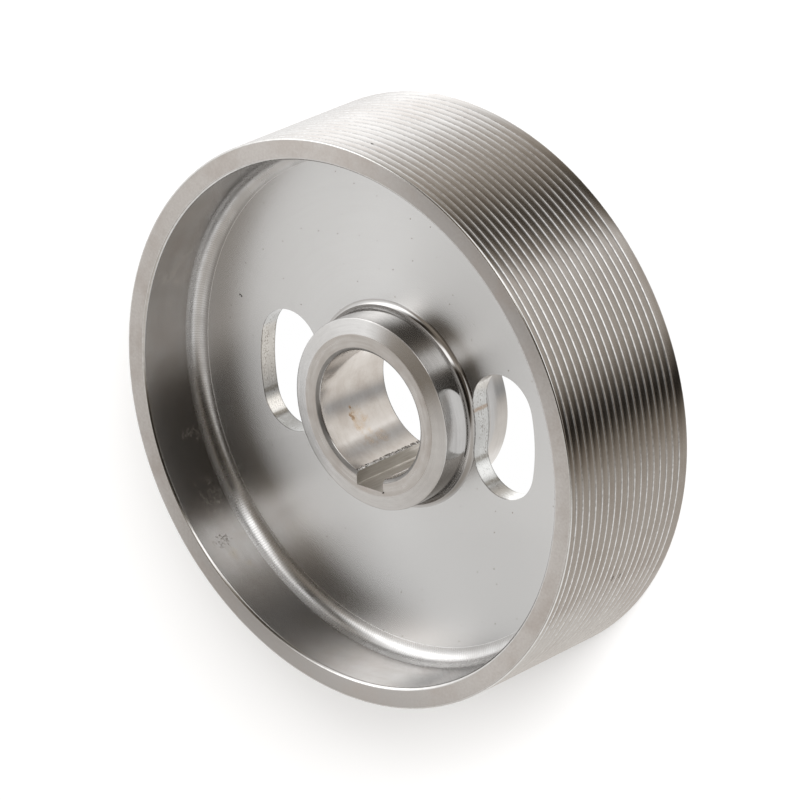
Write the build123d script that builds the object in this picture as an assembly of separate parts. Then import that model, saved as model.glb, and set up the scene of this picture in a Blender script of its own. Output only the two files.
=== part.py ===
from build123d import *
import os

# A flat belt pulley turned from steel as one piece: a wide thin rim with fine grooves round
# it, a web in the middle of its width, and a short hub with a keyed bore. Lengths are
# millimetres. The axis is Z, the pulley stands on the back face of its rim at Z = 0, and its
# front face is up.

# Rim
rim_diameter = 168.0
rim_width = 50.0
rim_wall = 6.4
rim_outer_chamfer = 0.6
rim_inner_chamfer = 0.6

# Grooves round the rim, evenly spaced. The front margin runs from the front face to the
# middle of the first groove, and the back margin from the last one to the back face.
groove_count = 17
groove_front_margin = 2.25
groove_back_margin = 3.75
groove_depth = 0.2

# Web, centred in the width of the rim
web_thickness = 6.0
web_rim_bevel = 2.6
web_hub_bevel = 1.5

# Hub, with a shallow bevel round each end face
hub_diameter = 57.0
hub_length = 28.5
hub_recess = 10.5
hub_bevel_width = 4.7
hub_bevel_drop = 1.25

# Bore and keyway
bore_diameter = 38.0
bore_chamfer = 0.9
keyway_width = 10.0
keyway_depth = 3.3
keyway_angle = 90.0

# Arc slots through the web, spread evenly round the hub
slot_count = 2
slot_radius = 41.0
slot_width = 22.0
slot_sweep = 21.6
slot_angle = 0.0

# How far each cutter runs past the faces that it opens
cut_margin = 1.0

rim_radius = rim_diameter / 2
rim_inner_radius = rim_radius - rim_wall
groove_pitch = (rim_width - groove_front_margin - groove_back_margin) / (groove_count - 1)
hub_radius = hub_diameter / 2
bore_radius = bore_diameter / 2
web_bottom = (rim_width - web_thickness) / 2
web_top = web_bottom + web_thickness
hub_top = rim_width - hub_recess
hub_bottom = hub_top - hub_length


def rim_section():
    # The rim's wall, from the back corner up its outer side and down its inner side. On the
    # outer side a 45 degree flank leads in to each groove, and a land leans back out of it.
    points = [
        (rim_radius - rim_outer_chamfer, 0),
        (rim_radius, rim_outer_chamfer),
    ]
    for index in range(groove_count):
        height = groove_back_margin + index * groove_pitch
        points += [
            (rim_radius, height - groove_depth),
            (rim_radius - groove_depth, height),
        ]
    points += [
        (rim_radius, rim_width - rim_outer_chamfer),
        (rim_radius - rim_outer_chamfer, rim_width),
        (rim_inner_radius + rim_inner_chamfer, rim_width),
        (rim_inner_radius, rim_width - rim_inner_chamfer),
        (rim_inner_radius, rim_inner_chamfer),
        (rim_inner_radius + rim_inner_chamfer, 0),
    ]
    return Polygon(*points, align=None)


def web_section():
    # The web's strip runs from inside the hub's wall to the middle of the rim's wall.
    start = (bore_radius + hub_radius) / 2
    width = rim_inner_radius + rim_wall / 2 - start
    return Pos(start, web_bottom) * Rectangle(width, web_thickness, align=Align.MIN)


def hub_section():
    # The hub's wall: chamfered bore, flat end faces, shallow bevels and outer surface.
    bevel_radius = hub_radius - hub_bevel_width
    mouth_radius = bore_radius + bore_chamfer
    points = [
        (bore_radius, hub_bottom + bore_chamfer),
        (mouth_radius, hub_bottom),
        (bevel_radius, hub_bottom),
        (hub_radius, hub_bottom + hub_bevel_drop),
        (hub_radius, hub_top - hub_bevel_drop),
        (bevel_radius, hub_top),
        (mouth_radius, hub_top),
        (bore_radius, hub_top - bore_chamfer),
    ]
    return Polygon(*points, align=None)


def web_corners(section, radius):
    # The two inside corners where the web meets the cylinder of this radius.
    places = [Vector(radius, height, 0) for height in (web_bottom, web_top)]
    return [min(section.vertices(), key=lambda v: (Vector(v) - place).length) for place in places]


def half_section():
    section = rim_section() + web_section() + hub_section()
    section = chamfer(web_corners(section, rim_inner_radius), web_rim_bevel)
    return chamfer(web_corners(section, hub_radius), web_hub_bevel)


def keyway():
    # A straight groove along the bore, from the axis out to the keyway's flat floor.
    reach = bore_radius + keyway_depth
    length = hub_length + 2 * cut_margin
    cutter = Box(reach, keyway_width, length, align=(Align.MIN, Align.CENTER, Align.MIN))
    return Rot(0, 0, keyway_angle) * Pos(0, 0, hub_bottom - cut_margin) * cutter


def web_slots():
    # Round-ended slots along a circle about the axis, right through the web and the bevel
    # at the foot of the hub.
    middle = CenterArc((0, 0), slot_radius, slot_angle - slot_sweep / 2, slot_sweep)
    outline = SlotArc(middle, slot_width)
    cutter = extrude(Pos(0, 0, -cut_margin) * outline, rim_width + 2 * cut_margin)
    return PolarLocations(0, slot_count) * cutter


pulley = revolve(Plane.XZ * half_section(), Axis.Z)
pulley = pulley - keyway() - web_slots()

os.makedirs("parts", exist_ok=True)
export_step(pulley, "parts/pulley.step")
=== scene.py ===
import math

import bpy
from mathutils import Matrix, Vector


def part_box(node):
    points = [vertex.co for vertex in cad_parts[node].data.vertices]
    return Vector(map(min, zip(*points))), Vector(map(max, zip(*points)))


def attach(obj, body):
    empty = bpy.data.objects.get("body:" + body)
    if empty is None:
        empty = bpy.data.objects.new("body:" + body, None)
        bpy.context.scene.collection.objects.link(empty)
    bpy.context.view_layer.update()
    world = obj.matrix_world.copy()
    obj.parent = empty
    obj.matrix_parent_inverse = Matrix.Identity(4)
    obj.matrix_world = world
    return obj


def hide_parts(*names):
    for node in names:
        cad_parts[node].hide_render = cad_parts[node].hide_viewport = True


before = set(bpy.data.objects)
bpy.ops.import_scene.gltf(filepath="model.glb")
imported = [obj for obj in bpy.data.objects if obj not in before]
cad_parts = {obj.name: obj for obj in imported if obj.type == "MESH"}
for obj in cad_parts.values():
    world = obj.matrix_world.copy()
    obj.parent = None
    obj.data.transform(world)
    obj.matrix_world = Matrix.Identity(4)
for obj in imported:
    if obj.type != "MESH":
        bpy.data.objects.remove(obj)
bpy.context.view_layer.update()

mm = 0.001
lowCorner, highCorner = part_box("pulley")
print("pulley frame loaded, corners", lowCorner, highCorner)

# Sizes of the turned body. Diameter and width come from the frame.
pulley = {
    "rimRadius": highCorner.x - 0.03 * mm,  # just inside the solid's own rim
    "rimWidth": highCorner.z,
    "rimWall": 6.4 * mm,
    "cornerRound": 0.6 * mm,    # outer corners of the rim
    "cornerSteps": 10,
    "innerChamfer": 0.6 * mm,
    "webThickness": 6 * mm,
    "webFillet": 4.5 * mm,
    "webFilletSteps": 16,
    "filletStep": 0.06 * mm,    # the fillet ends a little above the web
    "stepReach": 0.15 * mm,     # and comes down to it over this length
    "hubRadius": 28.5 * mm,
    "hubLength": 28.5 * mm,
    "hubRecess": 10.5 * mm,
    "hubBevelWidth": 4.7 * mm,
    "hubBevelDrop": 1.25 * mm,
    "hubBevelRings": (0.1, 0.9),    # shares of the bevel between which its shading stays flat
    "hubFillet": 2.5 * mm,
    "hubFilletSteps": 12,
    "boreRadius": 19 * mm,
    "boreChamfer": 0.9 * mm,
    "edgeRound": 0.22 * mm,     # every turned corner is broken this much
    "stepsRound": 320,          # faces round the axis
    "mergeWithin": 2e-6,        # joins the grooved side to the rest at the rim's corners
    "sharpAngle": math.radians(24),     # the shading is soft across a smaller bend
}

# Ring grooves of the rim
grooves = {
    "count": 17,
    "frontMargin": 2.25 * mm,   # from the rim's front face to the middle of the nearest groove
    "backMargin": 3.75 * mm,
    "mouth": 0.62 * mm,
    "floor": 0.1 * mm,
    "depth": 0.104 * mm,
    "blend": 0.03 * mm,         # half the width of the soft stretch at each corner
    "crown": 0.045 * mm,        # how much a land's middle stands over its edges
    "landShares": (0.2, 0.5, 0.8),  # where the points lie across a land
    "tailStep": 0.3 * mm,       # from point to point where the last land ends
}

# Cutters
slots = {
    "count": 2,
    "radius": 41 * mm,
    "width": 22 * mm,
    "sweep": math.radians(21.6),
    "flare": 0.25 * mm,         # the cutter grows by this much towards its ends
    "overrun": 12 * mm,         # which lie this far beyond the web's faces
    "ringShare": 0.3,           # height of its inner rings, so that long faces stay flat
    "steps": 96,                # points round the outline, a multiple of four
}
keyway = {
    "width": 10 * mm,
    "reach": 22.3 * mm,         # from the axis to the floor
    "relief": 0.45 * mm,        # radius of the small relief at one corner of the floor
    "reliefSteps": 20,
    "barShare": 1.2,            # length of the cutters, to the rim's width
}


def arcPoints(centre, radius, start, end, steps):
    # points of a round corner in the section, angles in degrees
    angles = [math.radians(start + (end - start) * i / steps) for i in range(steps + 1)]
    return [(centre[0] + radius * math.cos(a), centre[1] + radius * math.sin(a)) for a in angles]


def between(start, end, shares):
    # points along a straight stretch
    return [tuple(Vector(start).lerp(Vector(end), share)) for share in shares]


def breakCorners(line, size, steps=3):
    # swaps each sharp corner of an open section line for a small round one
    softBend, mostOfSide = math.radians(10), 0.4
    rounded = [line[0]]
    for before, (corner, zone), after in zip(line, line[1:], line[2:]):
        corner = Vector(corner)
        back, ahead = Vector(before[0]) - corner, Vector(after[0]) - corner
        if math.pi - back.angle(ahead) < softBend:
            rounded.append((tuple(corner), zone))
            continue
        reach = min(size, mostOfSide * back.length, mostOfSide * ahead.length)
        first, last = corner + back.normalized() * reach, corner + ahead.normalized() * reach
        for i in range(steps + 1):
            t = i / steps
            point = first * (1 - t) ** 2 + corner * 2 * t * (1 - t) + last * t ** 2
            rounded.append((tuple(point), zone))
    rounded.append(line[-1])
    return rounded


def sectionLine(p):
    # half section from the rim's front corner, down its inner side, round the hub and back up,
    # as points with the zone that starts at each
    rim, inner = p["rimRadius"], p["rimRadius"] - p["rimWall"]
    corner, chamfer, width = p["cornerRound"], p["innerChamfer"], p["rimWidth"]
    webTop = (width + p["webThickness"]) / 2
    webBottom = webTop - p["webThickness"]
    hubTop = width - p["hubRecess"]
    hubBottom = hubTop - p["hubLength"]
    hub, bore = p["hubRadius"], p["boreRadius"]
    bevel, mouth = hub - p["hubBevelWidth"], bore + p["boreChamfer"]
    big, small, step = p["webFillet"], p["hubFillet"], p["filletStep"]
    frontBevel = (hub, hubTop - p["hubBevelDrop"]), (bevel, hubTop)
    backBevel = (bevel, hubBottom), (hub, hubBottom + p["hubBevelDrop"])
    foot = inner - big
    cornerSteps, bigSteps, smallSteps = p["cornerSteps"], p["webFilletSteps"], p["hubFilletSteps"]
    stretches = [
        ("rimCorner", arcPoints((rim - corner, width - corner), corner, 0, 90, cornerSteps)),
        ("rimFace", [(rim - corner, width)]),
        ("rimCorner", [(inner + chamfer, width)]),
        ("wall", [(inner, width - chamfer)]),
        ("fillet", arcPoints((foot, webTop + step + big), big, 0, -90, bigSteps)),
        ("web", [(foot - p["stepReach"], webTop)]),
        ("hubSide", arcPoints((hub + small, webTop + small), small, 270, 180, smallSteps)),
        ("hubBevel", [frontBevel[0]] + between(*frontBevel, p["hubBevelRings"])),
        ("hubFace", [(bevel, hubTop)]),
        ("boreMouth", [(mouth, hubTop)]),
        ("bore", [(bore, hubTop - p["boreChamfer"])]),
        ("boreMouth", [(bore, hubBottom + p["boreChamfer"])]),
        ("hubFace", [(mouth, hubBottom)]),
        ("hubBevel", [backBevel[0]] + between(*backBevel, p["hubBevelRings"])),
        ("hubSide", [(hub, hubBottom + p["hubBevelDrop"])]),
        ("hubSide", arcPoints((hub + small, webBottom - small), small, 180, 90, smallSteps)),
        ("web", [(hub + small, webBottom)]),
        ("fillet", [(foot - p["stepReach"], webBottom)]),
        ("fillet", arcPoints((foot, webBottom - step - big), big, 90, 0, bigSteps)),
        ("wall", [(inner, webBottom - step - big)]),
        ("rimCorner", [(inner, chamfer)]),
        ("rimFace", [(inner + chamfer, 0)]),
        ("rimCorner", arcPoints((rim - corner, corner), corner, -90, 0, cornerSteps)),
    ]
    samePlace = 1e-7
    line = []
    for zone, points in stretches:
        for point in points:
            if line and (Vector(line[-1][0]) - Vector(point)).length < samePlace:
                line.pop()
            line.append((point, zone))
    return breakCorners(line, p["edgeRound"])


def feed(tree, socket, value):
    # a socket takes a link or a plain value
    if isinstance(value, bpy.types.NodeSocket):
        tree.links.new(value, socket)
    else:
        socket.default_value = value


def feedAll(tree, node, inputs):
    for key, value in dict(inputs).items():
        feed(tree, node.inputs[key], value)


def addNode(tree, kind, inputs=(), **settings):
    node = tree.nodes.new(kind)
    for name, value in settings.items():
        setattr(node, name, value)
    feedAll(tree, node, inputs)
    return node


def result(tree, kind, inputs=(), **settings):
    # a new node's first output
    return addNode(tree, kind, inputs, **settings).outputs[0]


def shape(tree, kind, inputs=(), **settings):
    # the same for a geometry node
    return result(tree, "GeometryNode" + kind, inputs, **settings)


def maths(tree, operation, *values, kind="ShaderNodeMath"):
    return result(tree, kind, dict(enumerate(values)), operation=operation)


def plus(tree, first, second):
    return maths(tree, "ADD", first, second)


def less(tree, first, second):
    return maths(tree, "SUBTRACT", first, second)


def times(tree, first, second):
    return maths(tree, "MULTIPLY", first, second)


def over(tree, first, second):
    return maths(tree, "DIVIDE", first, second)


def wholeMaths(tree, operation, *values):
    return maths(tree, operation, *values, kind="FunctionNodeIntegerMath")


def swap(tree, when, first, second):
    # the second number where the switch is 1, and the first where it is 0
    return result(tree, "ShaderNodeMix", {"Factor": when, "A": first, "B": second})


def spread(tree, value, start, end, low=0.0, high=1.0, kind="LINEAR"):
    return result(
        tree, "ShaderNodeMapRange",
        {"Value": value, "From Min": start, "From Max": end, "To Min": low, "To Max": high},
        interpolation_type=kind,
    )


def joinVector(tree, x, y, z):
    return result(tree, "ShaderNodeCombineXYZ", {0: x, 1: y, 2: z})


def choose(tree, index, values):
    # one of several numbers, by a whole one
    node = addNode(tree, "GeometryNodeIndexSwitch", data_type="FLOAT")
    while len(node.index_switch_items) < len(values):
        node.index_switch_items.new()
    feed(tree, node.inputs["Index"], index)
    for i, value in enumerate(values):
        feed(tree, node.inputs[str(i)], value)
    return node.outputs[0]


def stored(tree, name):
    # a whole number that the mesh carries under this name
    return shape(tree, "InputNamedAttribute", {"Name": name}, data_type="INT")


def store(tree, mesh, name, value, domain):
    return shape(
        tree, "StoreNamedAttribute", {"Geometry": mesh, "Name": name, "Value": value},
        data_type="INT", domain=domain,
    )


def sample(tree, mesh, value, index, kind):
    return shape(tree, "SampleIndex", {"Geometry": mesh, "Value": value, "Index": index}, data_type=kind)


def setPoints(tree, mesh, x, y, z):
    return shape(tree, "SetPosition", {"Geometry": mesh, "Position": joinVector(tree, x, y, z)})


def moved(tree, mesh, x, y, z):
    return shape(tree, "Transform", {"Geometry": mesh, "Translation": joinVector(tree, x, y, z)})


def dress(tree, mesh, material, where=True):
    return shape(tree, "SetMaterial", {"Geometry": mesh, "Selection": where, "Material": material})


def copies(tree, inputs):
    # instances on points, made real
    return shape(tree, "RealizeInstances", {"Geometry": shape(tree, "InstanceOnPoints", inputs)})


def newTree(name, inputs):
    # a mesh and the named values go in, and a mesh comes out
    kinds = {int: "NodeSocketInt", float: "NodeSocketFloat", tuple: "NodeSocketVector"}
    tree = bpy.data.node_groups.new(name, "GeometryNodeTree")
    tree.interface.new_socket("Geometry", in_out="INPUT", socket_type="NodeSocketGeometry")
    for key, value in inputs.items():
        socket = tree.interface.new_socket(key, in_out="INPUT", socket_type=kinds[type(value)])
        socket.default_value = value
    tree.interface.new_socket("Geometry", in_out="OUTPUT", socket_type="NodeSocketGeometry")
    return tree, addNode(tree, "NodeGroupInput").outputs


def show(name, data):
    # a new object in the scene
    item = bpy.data.objects.new(name, data)
    bpy.context.scene.collection.objects.link(item)
    return item


def runTree(tree, inputs, start, name):
    # runs the tree on a starting mesh and keeps the result as the plain mesh of a new piece
    drawn = show(start.name, start)
    modifier = drawn.modifiers.new(tree.name, "NODES")
    modifier.node_group = tree
    for socket in tree.interface.items_tree:
        if socket.in_out == "INPUT" and socket.name in inputs:
            modifier[socket.identifier] = inputs[socket.name]
    bpy.context.view_layer.update()
    evaluated = drawn.evaluated_get(bpy.context.evaluated_depsgraph_get())
    finished = bpy.data.meshes.new_from_object(evaluated)
    finished.name = tree.name
    drawn.modifiers.remove(modifier)
    bpy.data.objects.remove(drawn)
    return show(name, finished)


def turn(tree, profile, steps):
    # spins a line of points in the XZ plane round Z into a closed ring surface
    size = addNode(tree, "GeometryNodeAttributeDomainSize", {"Geometry": profile}, component="MESH")
    rows = size.outputs["Point Count"]
    around = wholeMaths(tree, "ADD", steps, 1)
    grid = shape(tree, "MeshGrid", {"Vertices X": around, "Vertices Y": rows})
    index = shape(tree, "InputIndex")
    row = wholeMaths(tree, "MODULO", index, rows)
    step = wholeMaths(tree, "DIVIDE_FLOOR", index, rows)
    place = shape(tree, "InputPosition")
    point = sample(tree, profile, place, row, "FLOAT_VECTOR")
    parts = addNode(tree, "ShaderNodeSeparateXYZ", {0: point}).outputs
    angle = times(tree, over(tree, step, steps), math.tau)
    x = times(tree, parts[0], maths(tree, "COSINE", angle))
    y = times(tree, parts[0], maths(tree, "SINE", angle))
    ring = setPoints(tree, grid, x, y, parts[2])
    faceRow = wholeMaths(tree, "MODULO", index, wholeMaths(tree, "SUBTRACT", rows, 1))
    faceZone = sample(tree, profile, stored(tree, "zone"), faceRow, "INT")
    return store(tree, ring, "faceZone", faceZone, "FACE")


def grooveLine(tree, given):
    # outer side of the rim from its back corner to its front one: a shallow groove with straight
    # flanks, then a crowned land, over again
    margins = plus(tree, given["groove frontMargin"], given["groove backMargin"])
    gaps = less(tree, given["groove count"], 1)
    pitch = over(tree, less(tree, given["rimWidth"], margins), gaps)
    mouth, floor = times(tree, given["groove mouth"], 0.5), times(tree, given["groove floor"], 0.5)
    soft, crown, depth = given["groove blend"], given["groove crown"], given["groove depth"]
    rise = times(tree, soft, over(tree, depth, less(tree, mouth, floor)))
    top, bottom = plus(tree, crown, rise), plus(tree, crown, less(tree, depth, rise))
    reaches = [plus(tree, mouth, soft), less(tree, mouth, soft), plus(tree, floor, soft)]
    heights = [times(tree, reach, -1) for reach in reaches] + reaches[::-1]
    sinks = [crown, top, bottom, bottom, top, crown]
    grooveSteps = len(heights) - 1
    landStart = reaches[0]
    land = less(tree, pitch, times(tree, landStart, 2))
    for share in grooves["landShares"]:
        heights.append(maths(tree, "MULTIPLY_ADD", land, share, landStart))
        sinks.append(times(tree, crown, (2 * share - 1) ** 2))

    index = shape(tree, "InputIndex")
    perGroove = len(heights)
    count = wholeMaths(tree, "ADD", wholeMaths(tree, "MULTIPLY", given["groove count"], perGroove), 2)
    inside = wholeMaths(tree, "SUBTRACT", index, 1)
    place = wholeMaths(tree, "MODULO", inside, perGroove)
    number = wholeMaths(tree, "DIVIDE_FLOOR", inside, perGroove)
    middle = maths(tree, "MULTIPLY_ADD", number, pitch, given["groove backMargin"])
    height = plus(tree, middle, choose(tree, place, heights))
    radius = less(tree, given["rimRadius"], choose(tree, place, sinks))

    # the first point lies on the rim's back corner, and the last few close up on its front one
    first = maths(tree, "LESS_THAN", index, 1)
    tailPoints = len(grooves["landShares"]) + 1
    tail = maths(tree, "GREATER_THAN", index, less(tree, count, tailPoints + 0.5))
    toEnd = less(tree, count, plus(tree, index, 1))
    frontEnd = less(tree, given["rimWidth"], given["cornerRound"])
    tailHeight = less(tree, frontEnd, times(tree, toEnd, grooves["tailStep"]))
    radius = swap(tree, plus(tree, first, tail), radius, given["rimRadius"])
    height = swap(tree, first, height, given["cornerRound"])
    height = swap(tree, tail, height, tailHeight)
    line = shape(tree, "MeshLine", {"Count": count})
    line = setPoints(tree, line, radius, 0.0, height)
    onLand = maths(tree, "MAXIMUM", maths(tree, "GREATER_THAN", place, grooveSteps - 0.5), first)
    zone = swap(tree, onLand, zones.index("groove"), zones.index("land"))
    return store(tree, line, "zone", zone, "POINT")


def slotCutter(tree, given):
    # arc slot with round ends: out along its far side, round one end, back, and round the other
    radius, sweep, flare = given["slot radius"], given["slot sweep"], given["slot flare"]
    halfWeb = times(tree, given["webThickness"], 0.5)
    inside, outside = less(tree, halfWeb, flare), plus(tree, halfWeb, slots["overrun"])
    upper = [outside, inside, times(tree, inside, slots["ringShare"])]
    levels = upper + [times(tree, level, -1) for level in upper[::-1]]
    block = shape(
        tree, "MeshCylinder",
        {"Vertices": slots["steps"], "Side Segments": len(levels) - 1, "Radius": 1.0, "Depth": 1.0},
    )
    index = shape(tree, "InputIndex")
    point = wholeMaths(tree, "MODULO", index, slots["steps"])
    level = wholeMaths(tree, "DIVIDE_FLOOR", index, slots["steps"])
    quarter = slots["steps"] // 4
    side = wholeMaths(tree, "DIVIDE_FLOOR", point, quarter)
    share = over(tree, wholeMaths(tree, "MODULO", point, quarter), quarter)
    height = plus(tree, times(tree, given["rimWidth"], 0.5), choose(tree, level, levels))
    grow = choose(tree, level, [flare] + [0.0] * (len(levels) - 2) + [flare])
    half = plus(tree, times(tree, given["slot width"], 0.5), grow)
    minusHalf = times(tree, half, -1)
    halfSweep = times(tree, sweep, 0.5)
    minusSweep = times(tree, halfSweep, -1)
    capTurn = times(tree, share, math.pi)
    capCosine, capSine = maths(tree, "COSINE", capTurn), maths(tree, "SINE", capTurn)
    alongOut = maths(tree, "MULTIPLY_ADD", share, sweep, minusSweep)

    # distance from the axis and sideways offset in the frame of one turning arm
    arm = choose(tree, side, [
        plus(tree, radius, half),
        maths(tree, "MULTIPLY_ADD", capCosine, half, radius),
        less(tree, radius, half),
        maths(tree, "MULTIPLY_ADD", capCosine, minusHalf, radius),
    ])
    aside = choose(tree, side, [0.0, times(tree, capSine, half), 0.0, times(tree, capSine, minusHalf)])
    swing = choose(tree, side, [alongOut, halfSweep, times(tree, alongOut, -1), minusSweep])
    cosine, sine = maths(tree, "COSINE", swing), maths(tree, "SINE", swing)
    x = less(tree, times(tree, arm, cosine), times(tree, aside, sine))
    y = plus(tree, times(tree, arm, sine), times(tree, aside, cosine))
    return setPoints(tree, block, x, y, height)


# Named inputs of the pulley's tree, such as groove depth
pulleyInputs = {}
for kind, sizes, keys in (
    ("", pulley, "stepsRound rimRadius rimWidth cornerRound webThickness"),
    ("groove ", grooves, "count frontMargin backMargin mouth floor depth blend crown"),
    ("slot ", slots, "count radius width sweep flare"),
    ("key ", keyway, "width reach relief"),
):
    pulleyInputs.update({kind + key: sizes[key] for key in keys.split()})


def makeTree(materials):
    tree, given = newTree("turnedPulley", pulleyInputs)
    body = turn(tree, given["Geometry"], given["stepsRound"])
    rings = turn(tree, grooveLine(tree, given), given["stepsRound"])
    both = addNode(tree, "GeometryNodeJoinGeometry")
    tree.links.new(body, both.inputs[0])
    tree.links.new(rings, both.inputs[0])
    shell = shape(tree, "MergeByDistance", {"Geometry": both.outputs[0], "Distance": pulley["mergeWithin"]})
    shell = shape(tree, "FlipFaces", {"Mesh": shell})
    faceZone = stored(tree, "faceZone")
    for number, zone in enumerate(zones):
        here = maths(tree, "COMPARE", faceZone, number, 0.5)
        shell = dress(tree, shell, materials[zone], here)

    # each slot is the same cutter, turned about the axis
    arms = shape(tree, "MeshLine", {"Count": given["slot count"], "Offset": (0, 0, 0)})
    index = shape(tree, "InputIndex")
    turnBy = times(tree, over(tree, index, given["slot count"]), math.tau)
    turnBy = joinVector(tree, 0.0, 0.0, turnBy)
    cutters = copies(tree, {"Points": arms, "Instance": slotCutter(tree, given), "Rotation": turnBy})

    # keyway bar from the axis to its floor, and a small round relief at one corner of the floor
    keyLength = times(tree, given["rimWidth"], keyway["barShare"])
    midHeight = times(tree, given["rimWidth"], 0.5)
    barSize = joinVector(tree, given["key width"], given["key reach"], keyLength)
    bar = shape(tree, "MeshCube", {"Size": barSize})
    bar = moved(tree, bar, 0.0, times(tree, given["key reach"], 0.5), midHeight)
    relief = shape(
        tree, "MeshCylinder",
        {"Vertices": keyway["reliefSteps"], "Radius": given["key relief"], "Depth": keyLength},
    )
    relief = moved(tree, relief, times(tree, given["key width"], -0.5), given["key reach"], midHeight)

    # a cut face keeps the material of what cut it
    cut = addNode(tree, "GeometryNodeMeshBoolean", operation="DIFFERENCE", solver="MANIFOLD")
    tree.links.new(shell, cut.inputs["Mesh 1"])
    for cutter, zone in ((cutters, "slotWall"), (bar, "keyway"), (relief, "keyway")):
        tree.links.new(dress(tree, cutter, materials[zone]), cut.inputs["Mesh 2"])
    solid = shape(tree, "RealizeInstances", {"Geometry": cut.outputs[0]})

    # soft between small angles, sharp across edges
    smooth = shape(tree, "SetShadeSmooth", {"Geometry": solid}, domain="FACE")
    edgeAngle = addNode(tree, "GeometryNodeInputMeshEdgeAngle").outputs["Unsigned Angle"]
    sharp = maths(tree, "GREATER_THAN", edgeAngle, pulley["sharpAngle"])
    smooth = shape(
        tree, "SetShadeSmooth",
        {"Geometry": smooth, "Selection": sharp, "Shade Smooth": False}, domain="EDGE",
    )
    out = addNode(tree, "NodeGroupOutput")
    tree.links.new(smooth, out.inputs[0])
    return tree


# Stretches of the turned surface, each with its own finish. tint and shade are its lighter and
# darker steel, drawn is how far a highlight is drawn out across the lathe marks, marks is how many
# there are per metre, and depth how strongly they show. The shares are those of the marks, of broad
# rings of them and of patches of this grain in the tint, and uneven is how far the roughness strays.
# stain, chatter and specks, where there are any, say how fine those are, and stained how strong the
# stain is.
finishes = {
    "rimFace": dict(
        tint=(0.555, 0.527, 0.502), shade=(0.505, 0.475, 0.45), roughness=0.33, drawn=0.85, marks=900,
        depth=0.03, shares=(0.15, 0.15, 0.7), grain=1300, uneven=0.08, stain=75, stained=0.5,
    ),
    "rimCorner": dict(
        tint=(0.63, 0.62, 0.61), shade=(0.55, 0.54, 0.52), roughness=0.16, drawn=0.3, marks=900,
        depth=0.05, shares=(0.3, 0.1, 0.6), grain=500,
    ),
    "wall": dict(
        tint=(0.47, 0.462, 0.455), shade=(0.405, 0.39, 0.375), roughness=0.18, drawn=0.6, marks=800,
        depth=0.04, shares=(0.3, 0.2, 0.5), grain=120, uneven=0.06, stain=55, stained=0.3,
    ),
    "fillet": dict(
        tint=(0.62, 0.615, 0.61), shade=(0.55, 0.54, 0.53), roughness=0.27, drawn=0.75, marks=900,
        depth=0.01, shares=(0.3, 0.2, 0.5), grain=200, chatter=620,
    ),
    "web": dict(
        tint=(0.635, 0.631, 0.625), shade=(0.62, 0.615, 0.608), roughness=0.27, drawn=0.82, marks=1000,
        depth=0.0, shares=(0.3, 0.2, 0.5), grain=60, uneven=0.0, specks=140, flat=True,
    ),
    "hubSide": dict(
        tint=(0.52, 0.51, 0.5), shade=(0.44, 0.43, 0.42), roughness=0.11, drawn=0.4, marks=900,
        depth=0.04, shares=(0.4, 0.3, 0.3), grain=200,
    ),
    "hubBevel": dict(
        tint=(0.61, 0.6, 0.59), shade=(0.55, 0.54, 0.53), roughness=0.2, drawn=0.5, marks=1100,
        depth=0.04, shares=(0.4, 0.2, 0.4), grain=300,
    ),
    "hubFace": dict(
        tint=(0.51, 0.485, 0.46), shade=(0.43, 0.4, 0.37), roughness=0.32, drawn=0.5, marks=1500,
        depth=0.1, shares=(0.5, 0.3, 0.2), grain=300, stain=130, stained=0.5,
    ),
    "boreMouth": dict(
        tint=(0.33, 0.32, 0.31), shade=(0.27, 0.26, 0.25), roughness=0.5, drawn=0.4, marks=900,
        depth=0.05, shares=(0.3, 0.3, 0.4), grain=300,
    ),
    "bore": dict(
        tint=(0.63, 0.615, 0.6), shade=(0.54, 0.515, 0.49), roughness=0.15, drawn=0.5, marks=900,
        depth=0.04, shares=(0.2, 0.2, 0.6), grain=150, stain=120, stained=0.35,
    ),
    "land": dict(
        tint=(0.607, 0.592, 0.577), shade=(0.53, 0.509, 0.488), roughness=0.17, drawn=0.5, marks=3600,
        depth=0.07, shares=(0.6, 0.1, 0.3), grain=45, specks=260, stain=38, stained=0.5,
    ),
    "groove": dict(
        tint=(0.68, 0.675, 0.67), shade=(0.5, 0.485, 0.47), roughness=0.17, drawn=0.2, marks=2500,
        depth=0.05, shares=(0.2, 0.1, 0.7), grain=800,
    ),
}
zones = list(finishes)

# What all turned finishes share
turning = {
    "marksPerBand": 6,
    "uneven": 0.18,
    "markHeight": 0.2 * mm,
    "wornEdges": (0.38, 0.62),      # where the tint starts to give way to the shade, and has done
    "spotRoughness": 0.5,
    "stainTint": (0.40, 0.35, 0.315),
    "stainEdges": (0.46, 0.66),
    "chatterShare": 0.32,
    "chatterShade": 0.6,            # of the finish's own shade
    "speckTint": (0.24, 0.20, 0.16),
    "speckSize": 0.040,             # of the largest, in cells
    "speckSoft": 0.02,
    "speckShare": 0.8,
}

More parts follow.
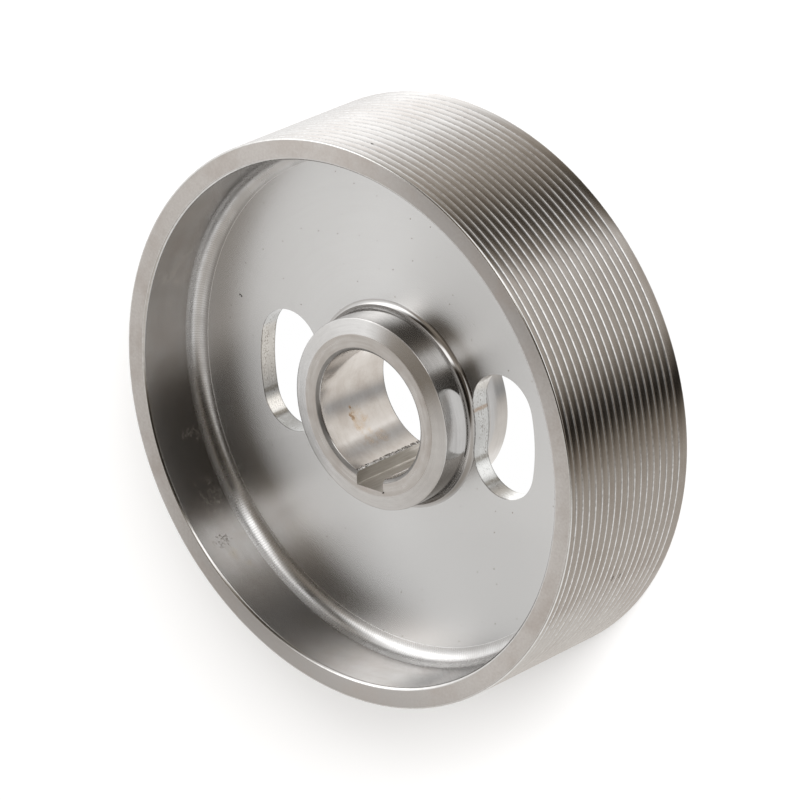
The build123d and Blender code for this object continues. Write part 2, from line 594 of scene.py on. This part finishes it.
# Marks of use and handling on each zone, and patches of painted shade and reflection: where each lies
# in mm, turned by this angle, its size inwards, round and along the axis, how fine it is per metre and
# how much of it is covered. One with no grain on a turned zone is a broad patch of painted shade, a
# darker stretch that stands in for a darker reflection, and a veined one is drawn in thin wandering lines.
soot = (0.05, 0.045, 0.04)
marksAndPaintedLight = {
    "rimFace": [
        # painted shade: two broad darker stretches of the rim face, standing in for darker reflections
        dict(at=(15.4, 79.5, 50), turn=79, size=(60, 85, 10), cover=0.85, tint=(0.37, 0.352, 0.337)),
        dict(at=(-51.0, -63.0, 50), turn=-129, size=(40, 64, 10), cover=0.75, tint=(0.38, 0.36, 0.345)),
        dict(
            at=(14.6, -81.0, 50), turn=-80, size=(2.4, 4.5, 3), grain=1100, cover=0.6, veined=True,
            soft=0.3, strength=0.6, tint=(0.78, 0.76, 0.73),
        ),
    ],
    "wall": [
        # painted shade: a broad dark stretch of the inner wall, standing in for a dark reflection
        dict(at=(-33.0, 70.0, 42), turn=115, size=(8, 26, 18), cover=0.95, tint=(0.17, 0.165, 0.16)),
        dict(
            at=(65.8, 41.0, 38.0), turn=32, size=(8, 13, 10), grain=980, cover=0.9, veined=True, soft=0.7,
            strength=0.5, tint=(0.8, 0.77, 0.71),
        ),
        dict(
            at=(72.5, 25.0, 36.0), turn=19, size=(8, 10, 10), grain=380, cover=0.9, veined=True, soft=0.5,
            strength=0.5, tint=(0.75, 0.72, 0.67),
        ),
        dict(
            at=(56.6, 53.2, 42.0), turn=43, size=(8, 6, 9), grain=1500, cover=0.5, soft=0.08,
            strength=0.6, tint=(0.14, 0.125, 0.105),
        ),
        dict(
            at=(52.0, 57.6, 40.0), turn=48, size=(6, 12, 9), grain=240, cover=0.52, soft=0.25,
            strength=0.55, tint=(0.42, 0.37, 0.3),
        ),
        dict(
            at=(71.5, -30.0, 41.0), turn=-23, size=(9, 30, 13), grain=420, cover=0.9, veined=True,
            soft=0.8, strength=0.2, tint=(0.8, 0.76, 0.71),
        ),
    ],
    "web": [
        # painted shade: a broad darker stretch of the web, standing in for a darker reflection
        dict(at=(-22.8, 48.9, 28), turn=115, size=(36, 66, 12), cover=0.75, tint=(0.55, 0.548, 0.543)),
        dict(at=(59.2, -18.5, 28.0), turn=-17, size=(1.6, 1.0, 3), grain=1500, cover=0.55, tint=soot),
    ],
    # painted shade: a dark stretch of the hub's side, standing in for a dark reflection
    "hubSide": [dict(at=(-22.0, 18.0, 34), turn=141, size=(8, 15, 12), cover=0.9, tint=(0.25, 0.24, 0.23))],
    "bore": [
        dict(
            at=(17.3, 7.9, 27.8), turn=25, size=(4, 5.6, 2.0), grain=620, cover=0.56, soft=0.1,
            strength=0.85, tint=(0.36, 0.22, 0.11),
        ),
        dict(
            at=(15.9, 10.4, 25.5), turn=33, size=(6, 11, 7), grain=420, cover=0.62, soft=0.3,
            strength=0.6, tint=(0.5, 0.37, 0.24),
        ),
        dict(
            at=(11.5, 15.1, 24.0), turn=53, size=(5, 5, 15), grain=330, cover=0.58, soft=0.2,
            strength=0.6, tint=(0.46, 0.35, 0.25),
        ),
        # painted shadow: a dark line along the bore beside the keyway, under the burr, that shows as shade
        # between its teeth
        dict(
            at=(5.3, 18.2, 25.0), turn=74, size=(4, 1.7, 60), grain=1300, cover=0.6, soft=0.06,
            strength=0.9, tint=(0.09, 0.08, 0.07),
        ),
    ],
    "land": [
        dict(at=(-76.8, 34.0, 24.6), turn=156, size=(3, 3.2, 0.9), grain=1500, cover=0.56, tint=soot),
        dict(at=(-76.6, 34.4, 21.2), turn=156, size=(3, 2.4, 0.9), grain=1800, cover=0.55, tint=soot),
        dict(at=(-7.0, -83.7, 42.0), turn=-95, size=(3, 1.5, 0.6), grain=1800, cover=0.52, tint=soot),
    ],
}
marksAndPaintedLight["groove"] = marksAndPaintedLight["land"]

# Bands down the slots' walls, most of them painted reflection in dark, grey and white, and one brown
# stain: middle, the way the wall faces, length along it and tint. A painted dark line of shade
# follows each edge of the walls.
slotPaintedLightAndStain = {
    "dark": (0.24, 0.22, 0.19), "grey": (0.37, 0.36, 0.34), "brown": (0.36, 0.27, 0.2),
    "white": (0.98, 0.98, 0.96), "edge": (0.1, 0.09, 0.08),
}
marksAndPaintedLight["slotWall"] = [
    {"at": (x, y, 25), "turn": facing, "size": (3, length, 12), "cover": 0.8, "tint": slotPaintedLightAndStain[tint]}
    for x, y, facing, length, tint in (
        (51.2, 9.2, 11, 1.2, "dark"), (49.7, 13.4, 31, 3.6, "white"), (47.6, 15.9, 49, 1.2, "dark"),
        (44.5, 17.9, 68, 4.0, "grey"), (-29.6, -5.2, 10, 0.9, "brown"), (-29.5, 9.9, 12, 1.2, "dark"),
        (-30.8, 13.3, 31, 3.6, "white"), (-33.3, 16.2, 51, 1.2, "dark"), (-37.2, 18.3, 74, 4.0, "grey"),
    )
] + [
    {"at": (0, 0, height), "turn": 0, "size": (300, 300, 0.5), "cover": cover, "tint": slotPaintedLightAndStain["edge"]}
    for height, cover in ((28, 0.85), (22, 0.6))
]

# How a patch is drawn
patch = {
    "full": 0.25,               # share of its reach from the middle that is covered in full
    "veinSharpness": 11,
    "breakGrain": 0.4,          # veins break off in patches, of this share of the grain
    "breakEdges": (0.42, 0.6),
    "soft": 0.06,
    "strength": 1.0,
}


def blend(tree, share, first, second):
    # between two colours, either of them a link or three numbers
    first, second = ((*c, 1) if isinstance(c, tuple) else c for c in (first, second))
    return addNode(tree, "ShaderNodeMix", {0: share, 6: first, 7: second}, data_type="RGBA").outputs[2]


def noise(tree, place, scale, detail, roughness=0.5):
    return result(
        tree, "ShaderNodeTexNoise",
        {"Vector": place, "Scale": scale, "Detail": detail, "Roughness": roughness},
    )


def lengthOf(tree, vector):
    return addNode(tree, "ShaderNodeVectorMath", {0: vector}, operation="LENGTH").outputs["Value"]


def patchCover(tree, place, spot):
    # patch about one point, ragged where it has a grain and soft where it has none
    at, size = ([value * mm for value in spot[key]] for key in ("at", "size"))
    near = result(
        tree, "ShaderNodeMapping",
        {"Vector": place, "Location": at, "Rotation": (0, 0, math.radians(spot["turn"])), "Scale": size},
        vector_type="TEXTURE",
    )
    inside = spread(tree, lengthOf(tree, near), 1.0, patch["full"], kind="SMOOTHSTEP")
    if "grain" not in spot:
        return times(tree, inside, spot["cover"])
    ragged = noise(tree, place, spot["grain"], detail=5.0, roughness=0.62)
    if spot.get("veined"):
        off = maths(tree, "ABSOLUTE", less(tree, ragged, 0.5))
        veins = maths(tree, "MULTIPLY_ADD", off, -patch["veinSharpness"], 1.0)
        broken = noise(tree, place, patch["breakGrain"] * spot["grain"], detail=3.0)
        ragged = times(tree, veins, spread(tree, broken, *patch["breakEdges"]))
    edge = less(tree, 1.0, times(tree, inside, spot["cover"]))
    soft, strength = (spot.get(key, patch[key]) for key in ("soft", "strength"))
    return spread(tree, less(tree, ragged, edge), 0.0, soft, 0.0, strength)


def specked(tree, place, cells, flat=False):
    # small dark specks, one in most cells of this many to the metre
    spotted = addNode(
        tree, "ShaderNodeTexVoronoi", {"Vector": place, "Scale": cells},
        voronoi_dimensions="2D" if flat else "3D",
    ).outputs
    chance = result(tree, "ShaderNodeSeparateColor", {0: spotted["Color"]})
    size = times(tree, chance, turning["speckSize"])
    inside = less(tree, size, spotted["Distance"])
    return spread(tree, inside, 0.0, turning["speckSoft"], 0.0, turning["speckShare"])


def newMaterial(name):
    material = bpy.data.materials.new(name)
    material.use_nodes = True
    tree = material.node_tree
    return material, tree, tree.nodes["Principled BSDF"]


def bumpOf(tree, height, depth):
    return result(
        tree, "ShaderNodeBump", {"Strength": depth, "Distance": turning["markHeight"], "Height": height},
    )


def turnedSteel(name, zone, look):
    # bare steel with the marks of a lathe round its axis
    material, tree, shader = newMaterial(name)
    place = addNode(tree, "ShaderNodeTexCoord").outputs["Object"]
    parts = addNode(tree, "ShaderNodeSeparateXYZ", {0: place}).outputs
    radius = lengthOf(tree, joinVector(tree, parts[0], parts[1], 0.0))
    cosine, sine = over(tree, parts[0], radius), over(tree, parts[1], radius)

    def latheNoise(across, around, detail, seed):
        # noise drawn out into rings: quick across the marks, slow round the axis
        spot = joinVector(
            tree, maths(tree, "MULTIPLY_ADD", radius, across, seed), times(tree, parts[2], across),
            times(tree, cosine, around),
        )
        return result(
            tree, "ShaderNodeTexNoise",
            {"Vector": spot, "W": times(tree, sine, around), "Scale": 1.0, "Detail": detail},
            noise_dimensions="4D",
        )

    marks = latheNoise(look["marks"], around=2.5, detail=3.0, seed=7.0)
    bands = latheNoise(look["marks"] / turning["marksPerBand"], around=0.5, detail=2.0, seed=31.0)
    patches = noise(tree, place, look["grain"], detail=5.0)
    markShare, bandShare, patchShare = look["shares"]
    worn = times(tree, marks, markShare)
    worn = maths(tree, "MULTIPLY_ADD", bands, bandShare, worn)
    worn = maths(tree, "MULTIPLY_ADD", patches, patchShare, worn)
    worn = spread(tree, worn, *turning["wornEdges"])
    tint = blend(tree, worn, look["shade"], look["tint"])
    uneven = look.get("uneven", turning["uneven"])
    roughest, smoothest = look["roughness"] * (1 + uneven), look["roughness"] * (1 - uneven)
    rough = spread(tree, worn, 0, 1, roughest, smoothest)
    # marks of use, and where a spot has no grain, a broad patch of painted shade
    for spot in marksAndPaintedLight.get(zone, []):
        cover = patchCover(tree, place, spot)
        tint = blend(tree, cover, tint, spot["tint"])
        if "grain" in spot:
            rough = maths(tree, "MAXIMUM", rough, times(tree, cover, turning["spotRoughness"]))
    if "stain" in look:
        clouds = noise(tree, place, look["stain"], detail=7.0, roughness=0.68)
        share = spread(tree, clouds, *turning["stainEdges"], 0, look["stained"])
        tint = blend(tree, share, tint, turning["stainTint"])
    if "chatter" in look:
        angle = maths(tree, "ARCTAN2", parts[1], parts[0])
        comb = maths(tree, "SINE", times(tree, angle, look["chatter"]))
        share = spread(tree, comb, -1, 1, 0, turning["chatterShare"])
        tint = blend(tree, share, tint, tuple(turning["chatterShade"] * part for part in look["shade"]))
    if "specks" in look:
        share = specked(tree, place, look["specks"], look.get("flat"))
        tint = blend(tree, share, tint, turning["speckTint"])
    feedAll(tree, shader, {
        "Base Color": tint, "Metallic": 1, "Roughness": rough, "Normal": bumpOf(tree, marks, look["depth"]),
        "Anisotropic": look["drawn"], "Anisotropic Rotation": 0.25,
        "Tangent": result(tree, "ShaderNodeTangent", direction_type="RADIAL", axis="Z"),
    })
    return material


# Finishes of the cut faces and of the burr. marks, chips and patches say how fine the tool's
# rows, its chips and the clouds are, and the stretches how far the first two run along each axis.
milled = {
    "slotWall": dict(
        tint=(0.64, 0.64, 0.625), shade=(0.47, 0.465, 0.45), roughness=0.18, depth=0.12, marks=1400,
        markStretch=(0.06, 0.06, 1), chips=3600, chipStretch=(0.45, 0.45, 1), patches=160, pitted=0.85,
    ),
    "burr": dict(
        tint=(0.97, 0.965, 0.95), shade=(0.9, 0.89, 0.87), roughness=0.6, depth=0.0, marks=900,
        markStretch=(1, 1, 1), chips=1500, chipStretch=(1, 1, 1), patches=120,
    ),
    "keyway": dict(
        tint=(0.56, 0.545, 0.52), shade=(0.43, 0.41, 0.38), roughness=0.28, depth=0.08, marks=1600,
        markStretch=(1, 1, 0.02), chips=1200, chipStretch=(1, 1, 0.1), patches=120, brightLine=(5.0, 22.15),
    ),
}

# What all milled finishes share
milling = {
    "shares": (0.4, 0.35, 0.25),    # of rows, chips and patches in the tint
    "wornEdges": (0.42, 0.58),
    "pitTint": (0.26, 0.24, 0.22),
    "pitChips": (0.51, 0.58),       # pits are where the chips are high, above all on high rows
    "pitRows": (0.44, 0.56, 0.1),
    "bandBreaks": (0.38, 0.5, 0.5, 1.0),
    # a near-white dashed line painted along one corner of the keyway's floor
    "brightLineTint": (0.97, 0.96, 0.94),
    "brightLineEdges": (0.16 * mm, 0.08 * mm),
    "brightLineBreaks": (0.35, 0.5, 0.3, 1.0),
}


def stretched(tree, place, scale, stretch):
    # noise drawn out along the axes where the stretch is small
    near = result(tree, "ShaderNodeMapping", {"Vector": place, "Scale": stretch})
    return noise(tree, near, scale, detail=3.0)


def milledSteel(name, zone, look):
    # bare steel with the chatter of an end mill, in rows along Z
    material, tree, shader = newMaterial(name)
    place = addNode(tree, "ShaderNodeTexCoord").outputs["Object"]
    rows = stretched(tree, place, look["marks"], look["markStretch"])
    chips = stretched(tree, place, look["chips"], look["chipStretch"])
    patches = stretched(tree, place, look["patches"], (1, 1, 1))
    rowShare, chipShare, patchShare = milling["shares"]
    worn = maths(tree, "MULTIPLY_ADD", rows, rowShare, times(tree, chips, chipShare))
    worn = maths(tree, "MULTIPLY_ADD", patches, patchShare, worn)
    tint = blend(tree, spread(tree, worn, *milling["wornEdges"]), look["shade"], look["tint"])
    if "pitted" in look:
        onRows = spread(tree, rows, *milling["pitRows"], look["pitted"])
        pits = times(tree, spread(tree, chips, *milling["pitChips"]), onRows)
        tint = blend(tree, pits, tint, milling["pitTint"])
    # bands of painted reflection and shade down the slots' walls, one brown stain and painted dark edge
    # lines
    for spot in marksAndPaintedLight.get(zone, []):
        breaks = spread(tree, chips, *milling["bandBreaks"])
        tint = blend(tree, times(tree, patchCover(tree, place, spot), breaks), tint, spot["tint"])
    # a near-white dashed line painted along one corner of the keyway's floor
    if "brightLine" in look:
        parts = addNode(tree, "ShaderNodeSeparateXYZ", {0: place}).outputs
        aside = [less(tree, parts[i], look["brightLine"][i] * mm) for i in (0, 1)]
        line = spread(tree, lengthOf(tree, joinVector(tree, *aside, 0.0)), *milling["brightLineEdges"])
        line = times(tree, line, spread(tree, chips, *milling["brightLineBreaks"]))
        tint = blend(tree, line, tint, milling["brightLineTint"])
    feedAll(tree, shader, {
        "Base Color": tint, "Metallic": 1, "Roughness": look["roughness"],
        "Normal": bumpOf(tree, worn, look["depth"]),
    })
    return material


def makeMaterials():
    made = {zone: turnedSteel(zone + "Steel", zone, look) for zone, look in finishes.items()}
    made.update({name: milledSteel(name + "Steel", name, look) for name, look in milled.items()})
    print("materials mixed,", len(made))
    return made


def makePulley(materials):
    line = sectionLine(pulley)
    mesh = bpy.data.meshes.new("sectionLine")
    mesh.from_pydata([(x, 0, z) for (x, z), zone in line], [(i, i + 1) for i in range(len(line) - 1)], [])
    numbers = mesh.attributes.new("zone", "INT", "POINT")
    for item, (point, zone) in zip(numbers.data, line):
        item.value = zones.index(zone)
    piece = runTree(makeTree(materials), pulleyInputs, mesh, "turned_pulley")
    triangles = sum(len(face.vertices) - 2 for face in piece.data.polygons)
    print("pulley turned,", len(piece.data.vertices), "points,", triangles, "triangles")
    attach(piece, "root")
    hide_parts("pulley")


# Ragged edge that the cutter left in the bore along one side of the keyway
burr = {
    "teeth": 84,
    "start": (4.80 * mm, 18.32 * mm, 11.6 * mm),
    "step": (0, 0, 0.325 * mm),
    "toothSides": 4,
    "toothLength": 1.25 * mm,
    "toothWidth": 0.24 * mm,
    "toothHeight": 0.2 * mm,
    "along": math.radians(-15.3),   # from +X to the bore's surface, away from the keyway
    "swing": math.radians(38),
    "smallest": 0.4,
    "largest": 1.25,
    "kept": 0.72,
    "seed": 11,
}


def randomly(tree, low, high, seed):
    node = addNode(tree, "FunctionNodeRandomValue", {"Seed": seed}, data_type="FLOAT")
    sockets = [socket for socket in node.inputs if socket.enabled]
    for socket, value in zip(sockets, (low, high)):
        feed(tree, socket, value)
    return next(socket for socket in node.outputs if socket.enabled)


def makeBurr(material):
    tree, given = newTree("keywayBurr", burr)
    places = shape(
        tree, "MeshLine",
        {"Count": given["teeth"], "Start Location": given["start"], "Offset": given["step"]},
    )
    tooth = shape(tree, "MeshCone", {"Vertices": given["toothSides"], "Radius Bottom": 1.0, "Depth": 1.0})
    size = joinVector(tree, given["toothWidth"], given["toothHeight"], given["toothLength"])
    tooth = shape(
        tree, "Transform",
        {"Geometry": tooth, "Rotation": joinVector(tree, 0.0, math.pi / 2, given["along"]), "Scale": size},
    )
    swing, seed = given["swing"], given["seed"]
    lean = joinVector(tree, 0.0, randomly(tree, times(tree, swing, -1), swing, seed), 0.0)
    grown = randomly(tree, given["smallest"], given["largest"], wholeMaths(tree, "ADD", seed, 1))
    chance = randomly(tree, 0.0, 1.0, wholeMaths(tree, "ADD", seed, 2))
    shown = maths(tree, "LESS_THAN", chance, given["kept"])
    teeth = copies(tree, {
        "Points": places, "Selection": shown, "Instance": tooth, "Rotation": lean, "Scale": grown,
    })
    out = addNode(tree, "NodeGroupOutput")
    tree.links.new(dress(tree, teeth, material), out.inputs[0])

    piece = runTree(tree, burr, bpy.data.meshes.new("burrTeeth"), "keyway_burr")
    print("burr made,", len(piece.data.polygons), "faces")
    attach(piece, "root")


# Camera of the photograph: a long lens from above and to one side, rolled about its line of sight
view = {
    "towards": (0.6244, 0.3788, -0.6831),   # line of sight
    "up": (0.2355, -0.9251, -0.2978),
    "aim": (0.52 * mm, -0.10 * mm, 25.4 * mm),
    "distance": 1725.3 * mm,
    "farEnd": 50.0,
    "lens": 274.1,
    "sensor": 36.0,
}


def makeCamera():
    camera = show("camera", bpy.data.cameras.new("camera"))
    camera.data.lens = view["lens"]
    camera.data.sensor_width = view["sensor"]
    camera.data.clip_end = view["farEnd"]
    towards = Vector(view["towards"]).normalized()
    side = towards.cross(Vector(view["up"])).normalized()
    up = side.cross(towards)
    camera.location = Vector(view["aim"]) - towards * view["distance"]
    camera.rotation_mode = "QUATERNION"
    camera.rotation_quaternion = Matrix((side, up, -towards)).transposed().to_quaternion()
    bpy.context.scene.camera = camera
    print("camera placed")


# White paper in three parts. Shiny steel doesn't show the outer one, shows the ring as it is, and
# sees through the disc in its eye.
paper = {
    "eyeRadius": 42 * mm,
    "ringRadius": 77 * mm,
    "outerRadius": 6.0,
    "stepsRound": 128,
    "colour": 0.9,
    "outerGlow": 0.3,           # share of plain white in what the camera sees of it
    "innerGlow": 1.0,
    "sheerGlow": 0.5,           # what shiny steel sees of the disc, over what lies beyond
}


def paperMaterial(name, glowShare):
    material, tree, shader = newMaterial(name)
    white = [paper["colour"]] * 3 + [1]
    feedAll(tree, shader, {"Base Color": white, "Roughness": 1, "Specular IOR Level": 0})
    glow = addNode(tree, "ShaderNodeEmission", {"Strength": 1.0})
    rays = addNode(tree, "ShaderNodeLightPath").outputs
    mirrored = maths(tree, "MAXIMUM", rays["Is Glossy Ray"], rays["Is Transmission Ray"])
    share = times(tree, maths(tree, "MAXIMUM", rays["Is Camera Ray"], mirrored), glowShare)
    mix = addNode(tree, "ShaderNodeMixShader", {0: share, 1: shader.outputs[0], 2: glow.outputs[0]})
    tree.links.new(mix.outputs[0], tree.nodes["Material Output"].inputs[0])
    return material


def sheerPaper(name, glowShare):
    # the same paper, which shiny steel sees through
    material = paperMaterial(name, glowShare)
    tree = material.node_tree
    out = tree.nodes["Material Output"].inputs[0]
    solid = out.links[0].from_socket
    clear = addNode(tree, "ShaderNodeBsdfTransparent")
    glow = addNode(tree, "ShaderNodeEmission", {"Strength": paper["sheerGlow"]})
    sheer = addNode(tree, "ShaderNodeAddShader", {0: clear.outputs[0], 1: glow.outputs[0]})
    mirrored = addNode(tree, "ShaderNodeLightPath").outputs["Is Glossy Ray"]
    mix = addNode(tree, "ShaderNodeMixShader", {0: mirrored, 1: solid, 2: sheer.outputs[0]})
    tree.links.new(mix.outputs[0], out)
    return material


def ringSheet(name, inner, outer, material):
    # flat ring on the ground, or a disc where the inner radius is 0
    steps = paper["stepsRound"]
    circle = [(math.cos(math.tau * i / steps), math.sin(math.tau * i / steps)) for i in range(steps)]
    points = [(x * outer, y * outer, 0) for x, y in circle]
    faces = [tuple(range(steps))]
    if inner:
        points += [(x * inner, y * inner, 0) for x, y in circle]
        faces = [(steps + i, i, (i + 1) % steps, steps + (i + 1) % steps) for i in range(steps)]
    mesh = bpy.data.meshes.new(name)
    mesh.from_pydata(points, [], faces)
    mesh.materials.append(material)
    sheet = show(name, mesh)
    return sheet


def makeFloor():
    outer = paperMaterial("outerPaper", paper["outerGlow"])
    inner = paperMaterial("innerPaper", paper["innerGlow"])
    ringSheet("paper", paper["ringRadius"], paper["outerRadius"], outer).visible_glossy = False
    ringSheet("paper_ring", paper["eyeRadius"], paper["ringRadius"], inner)
    ringSheet("paper_eye", 0, paper["eyeRadius"], sheerPaper("sheerPaper", paper["innerGlow"]))
    print("paper laid")


# The studio round the pulley, as shiny steel shows it: white stretches with grey and dark ones
# between. Each band runs round the horizon at its own height, and its ramp gives the brightness
# by azimuth in degrees.
surround = {
    "below": [
        (0, 1.1), (19, 0.95), (31, 0.6), (43, 0.72), (60, 0.7), (72, 0.74), (84, 0.76), (100, 0.6),
        (140, 0.53), (152, 0.43), (162, 0.22), (170, 0.015), (178, 0.01), (186, 0.13), (198, 0.47),
        (214, 0.58), (226, 0.63), (236, 0.76), (244, 0.28), (253, 0.09), (261, 0.06), (270, 0.17),
        (283, 0.42), (295, 0.62), (307, 0.9), (320, 1.42), (342, 1.65), (354, 1.35),
    ],
    "low": [
        (0, 1.2), (31, 0.9), (60, 1.2), (119, 1.35), (150, 1.0), (163, 0.3), (179, 0.14), (190, 0.7),
        (199, 1.45), (225, 1.7), (245, 1.1), (262, 0.55), (290, 0.6), (305, 1.0), (330, 1.4),
    ],
    "level": [
        (0, 1.2), (16, 1.0), (32, 1.05), (43, 0.82), (60, 0.82), (100, 1.0), (139, 1.25), (158, 1.1),
        (170, 0.2), (220, 0.15), (232, 1.8), (250, 2.3), (265, 1.3), (285, 0.5), (310, 1.4),
        (330, 2.2), (345, 1.5),
    ],
    "above": [
        (0, 1.25), (15, 0.88), (31, 1.05), (50, 0.86), (75, 0.66), (100, 0.64), (148, 0.76), (160, 0.2),
        (169, 0.02), (216, 0.02), (222, 0.25), (229, 2.1), (243, 1.9), (254, 0.45), (266, 0.08),
        (280, 0.02), (293, 0.11), (304, 1.0), (316, 2.3), (328, 3.1), (342, 2.2), (354, 1.2),
    ],
    "high": [
        (0, 0.35), (12, 0.22), (35, 0.27), (52, 0.63), (63, 0.8), (90, 0.9), (122, 0.9), (150, 0.7),
        (166, 0.1), (215, 0.1), (228, 0.6), (261, 0.3), (292, 0.25), (330, 0.35),
    ],
    # from where to where each band takes over from the one under it, as sines of the elevation
    "edges": [("low", -0.56, -0.44), ("level", 0.06, 0.20), ("above", 0.36, 0.50), ("high", 0.78, 0.88)],
    "nadir": 0.35,
    "nadirEdge": (-0.80, -0.93),
    "shadowTone": (1.0, 0.82, 0.62),    # dark stretches are brownish
}


def azimuthRamp(tree, share, stops):
    ramp = addNode(tree, "ShaderNodeValToRGB", {0: share})
    elements = ramp.color_ramp.elements
    stops = stops + [(360, stops[0][1])]
    while len(elements) < len(stops):
        elements.new(0.5)
    for element, (azimuth, bright) in zip(elements, stops):
        element.position = azimuth / 360
        dark = max(0.0, 1 - bright)
        element.color = [bright * (1 - dark + dark * tone) for tone in surround["shadowTone"]] + [1]
    return ramp.outputs[0]


# Lamp that throws the soft shadow
softbox = {
    "size": 0.9,
    "energy": 52,
    "distance": 2.0,
    "towards": (0.60, 0.56, -0.57),
}


def makeLight():
    world = bpy.data.worlds.new("studio")
    bpy.context.scene.world = world
    world.use_nodes = True
    tree = world.node_tree
    direction = addNode(tree, "ShaderNodeTexCoord").outputs["Generated"]
    parts = addNode(tree, "ShaderNodeSeparateXYZ", {0: direction}).outputs
    share = over(tree, maths(tree, "ARCTAN2", parts[1], parts[0]), math.tau)
    share = maths(tree, "FRACT", share)
    colour = azimuthRamp(tree, share, surround["below"])
    for name, start, end in surround["edges"]:
        rise = spread(tree, parts[2], start, end, kind="SMOOTHSTEP")
        colour = blend(tree, rise, colour, azimuthRamp(tree, share, surround[name]))
    fall = spread(tree, parts[2], *surround["nadirEdge"], kind="SMOOTHSTEP")
    colour = blend(tree, fall, colour, (surround["nadir"],) * 3)
    rays = addNode(tree, "ShaderNodeLightPath").outputs
    seen = maths(tree, "MAXIMUM", rays["Is Camera Ray"], rays["Is Transmission Ray"])
    colour = blend(tree, seen, colour, (1.0, 1.0, 1.0))
    feed(tree, tree.nodes["Background"].inputs["Color"], colour)

    lamp = bpy.data.lights.new("softbox", "AREA")
    lamp.size = softbox["size"]
    lamp.energy = softbox["energy"]
    key = show("softbox", lamp)
    towards = Vector(softbox["towards"]).normalized()
    key.location = -softbox["distance"] * towards
    key.rotation_mode = "QUATERNION"
    key.rotation_quaternion = towards.to_track_quat("-Z", "Y")
    key.visible_glossy = False
    print("light set")


steel = makeMaterials()
makePulley(steel)
makeBurr(steel["burr"])
makeCamera()
makeFloor()
makeLight()
bpy.context.scene.view_settings.view_transform = "Standard"
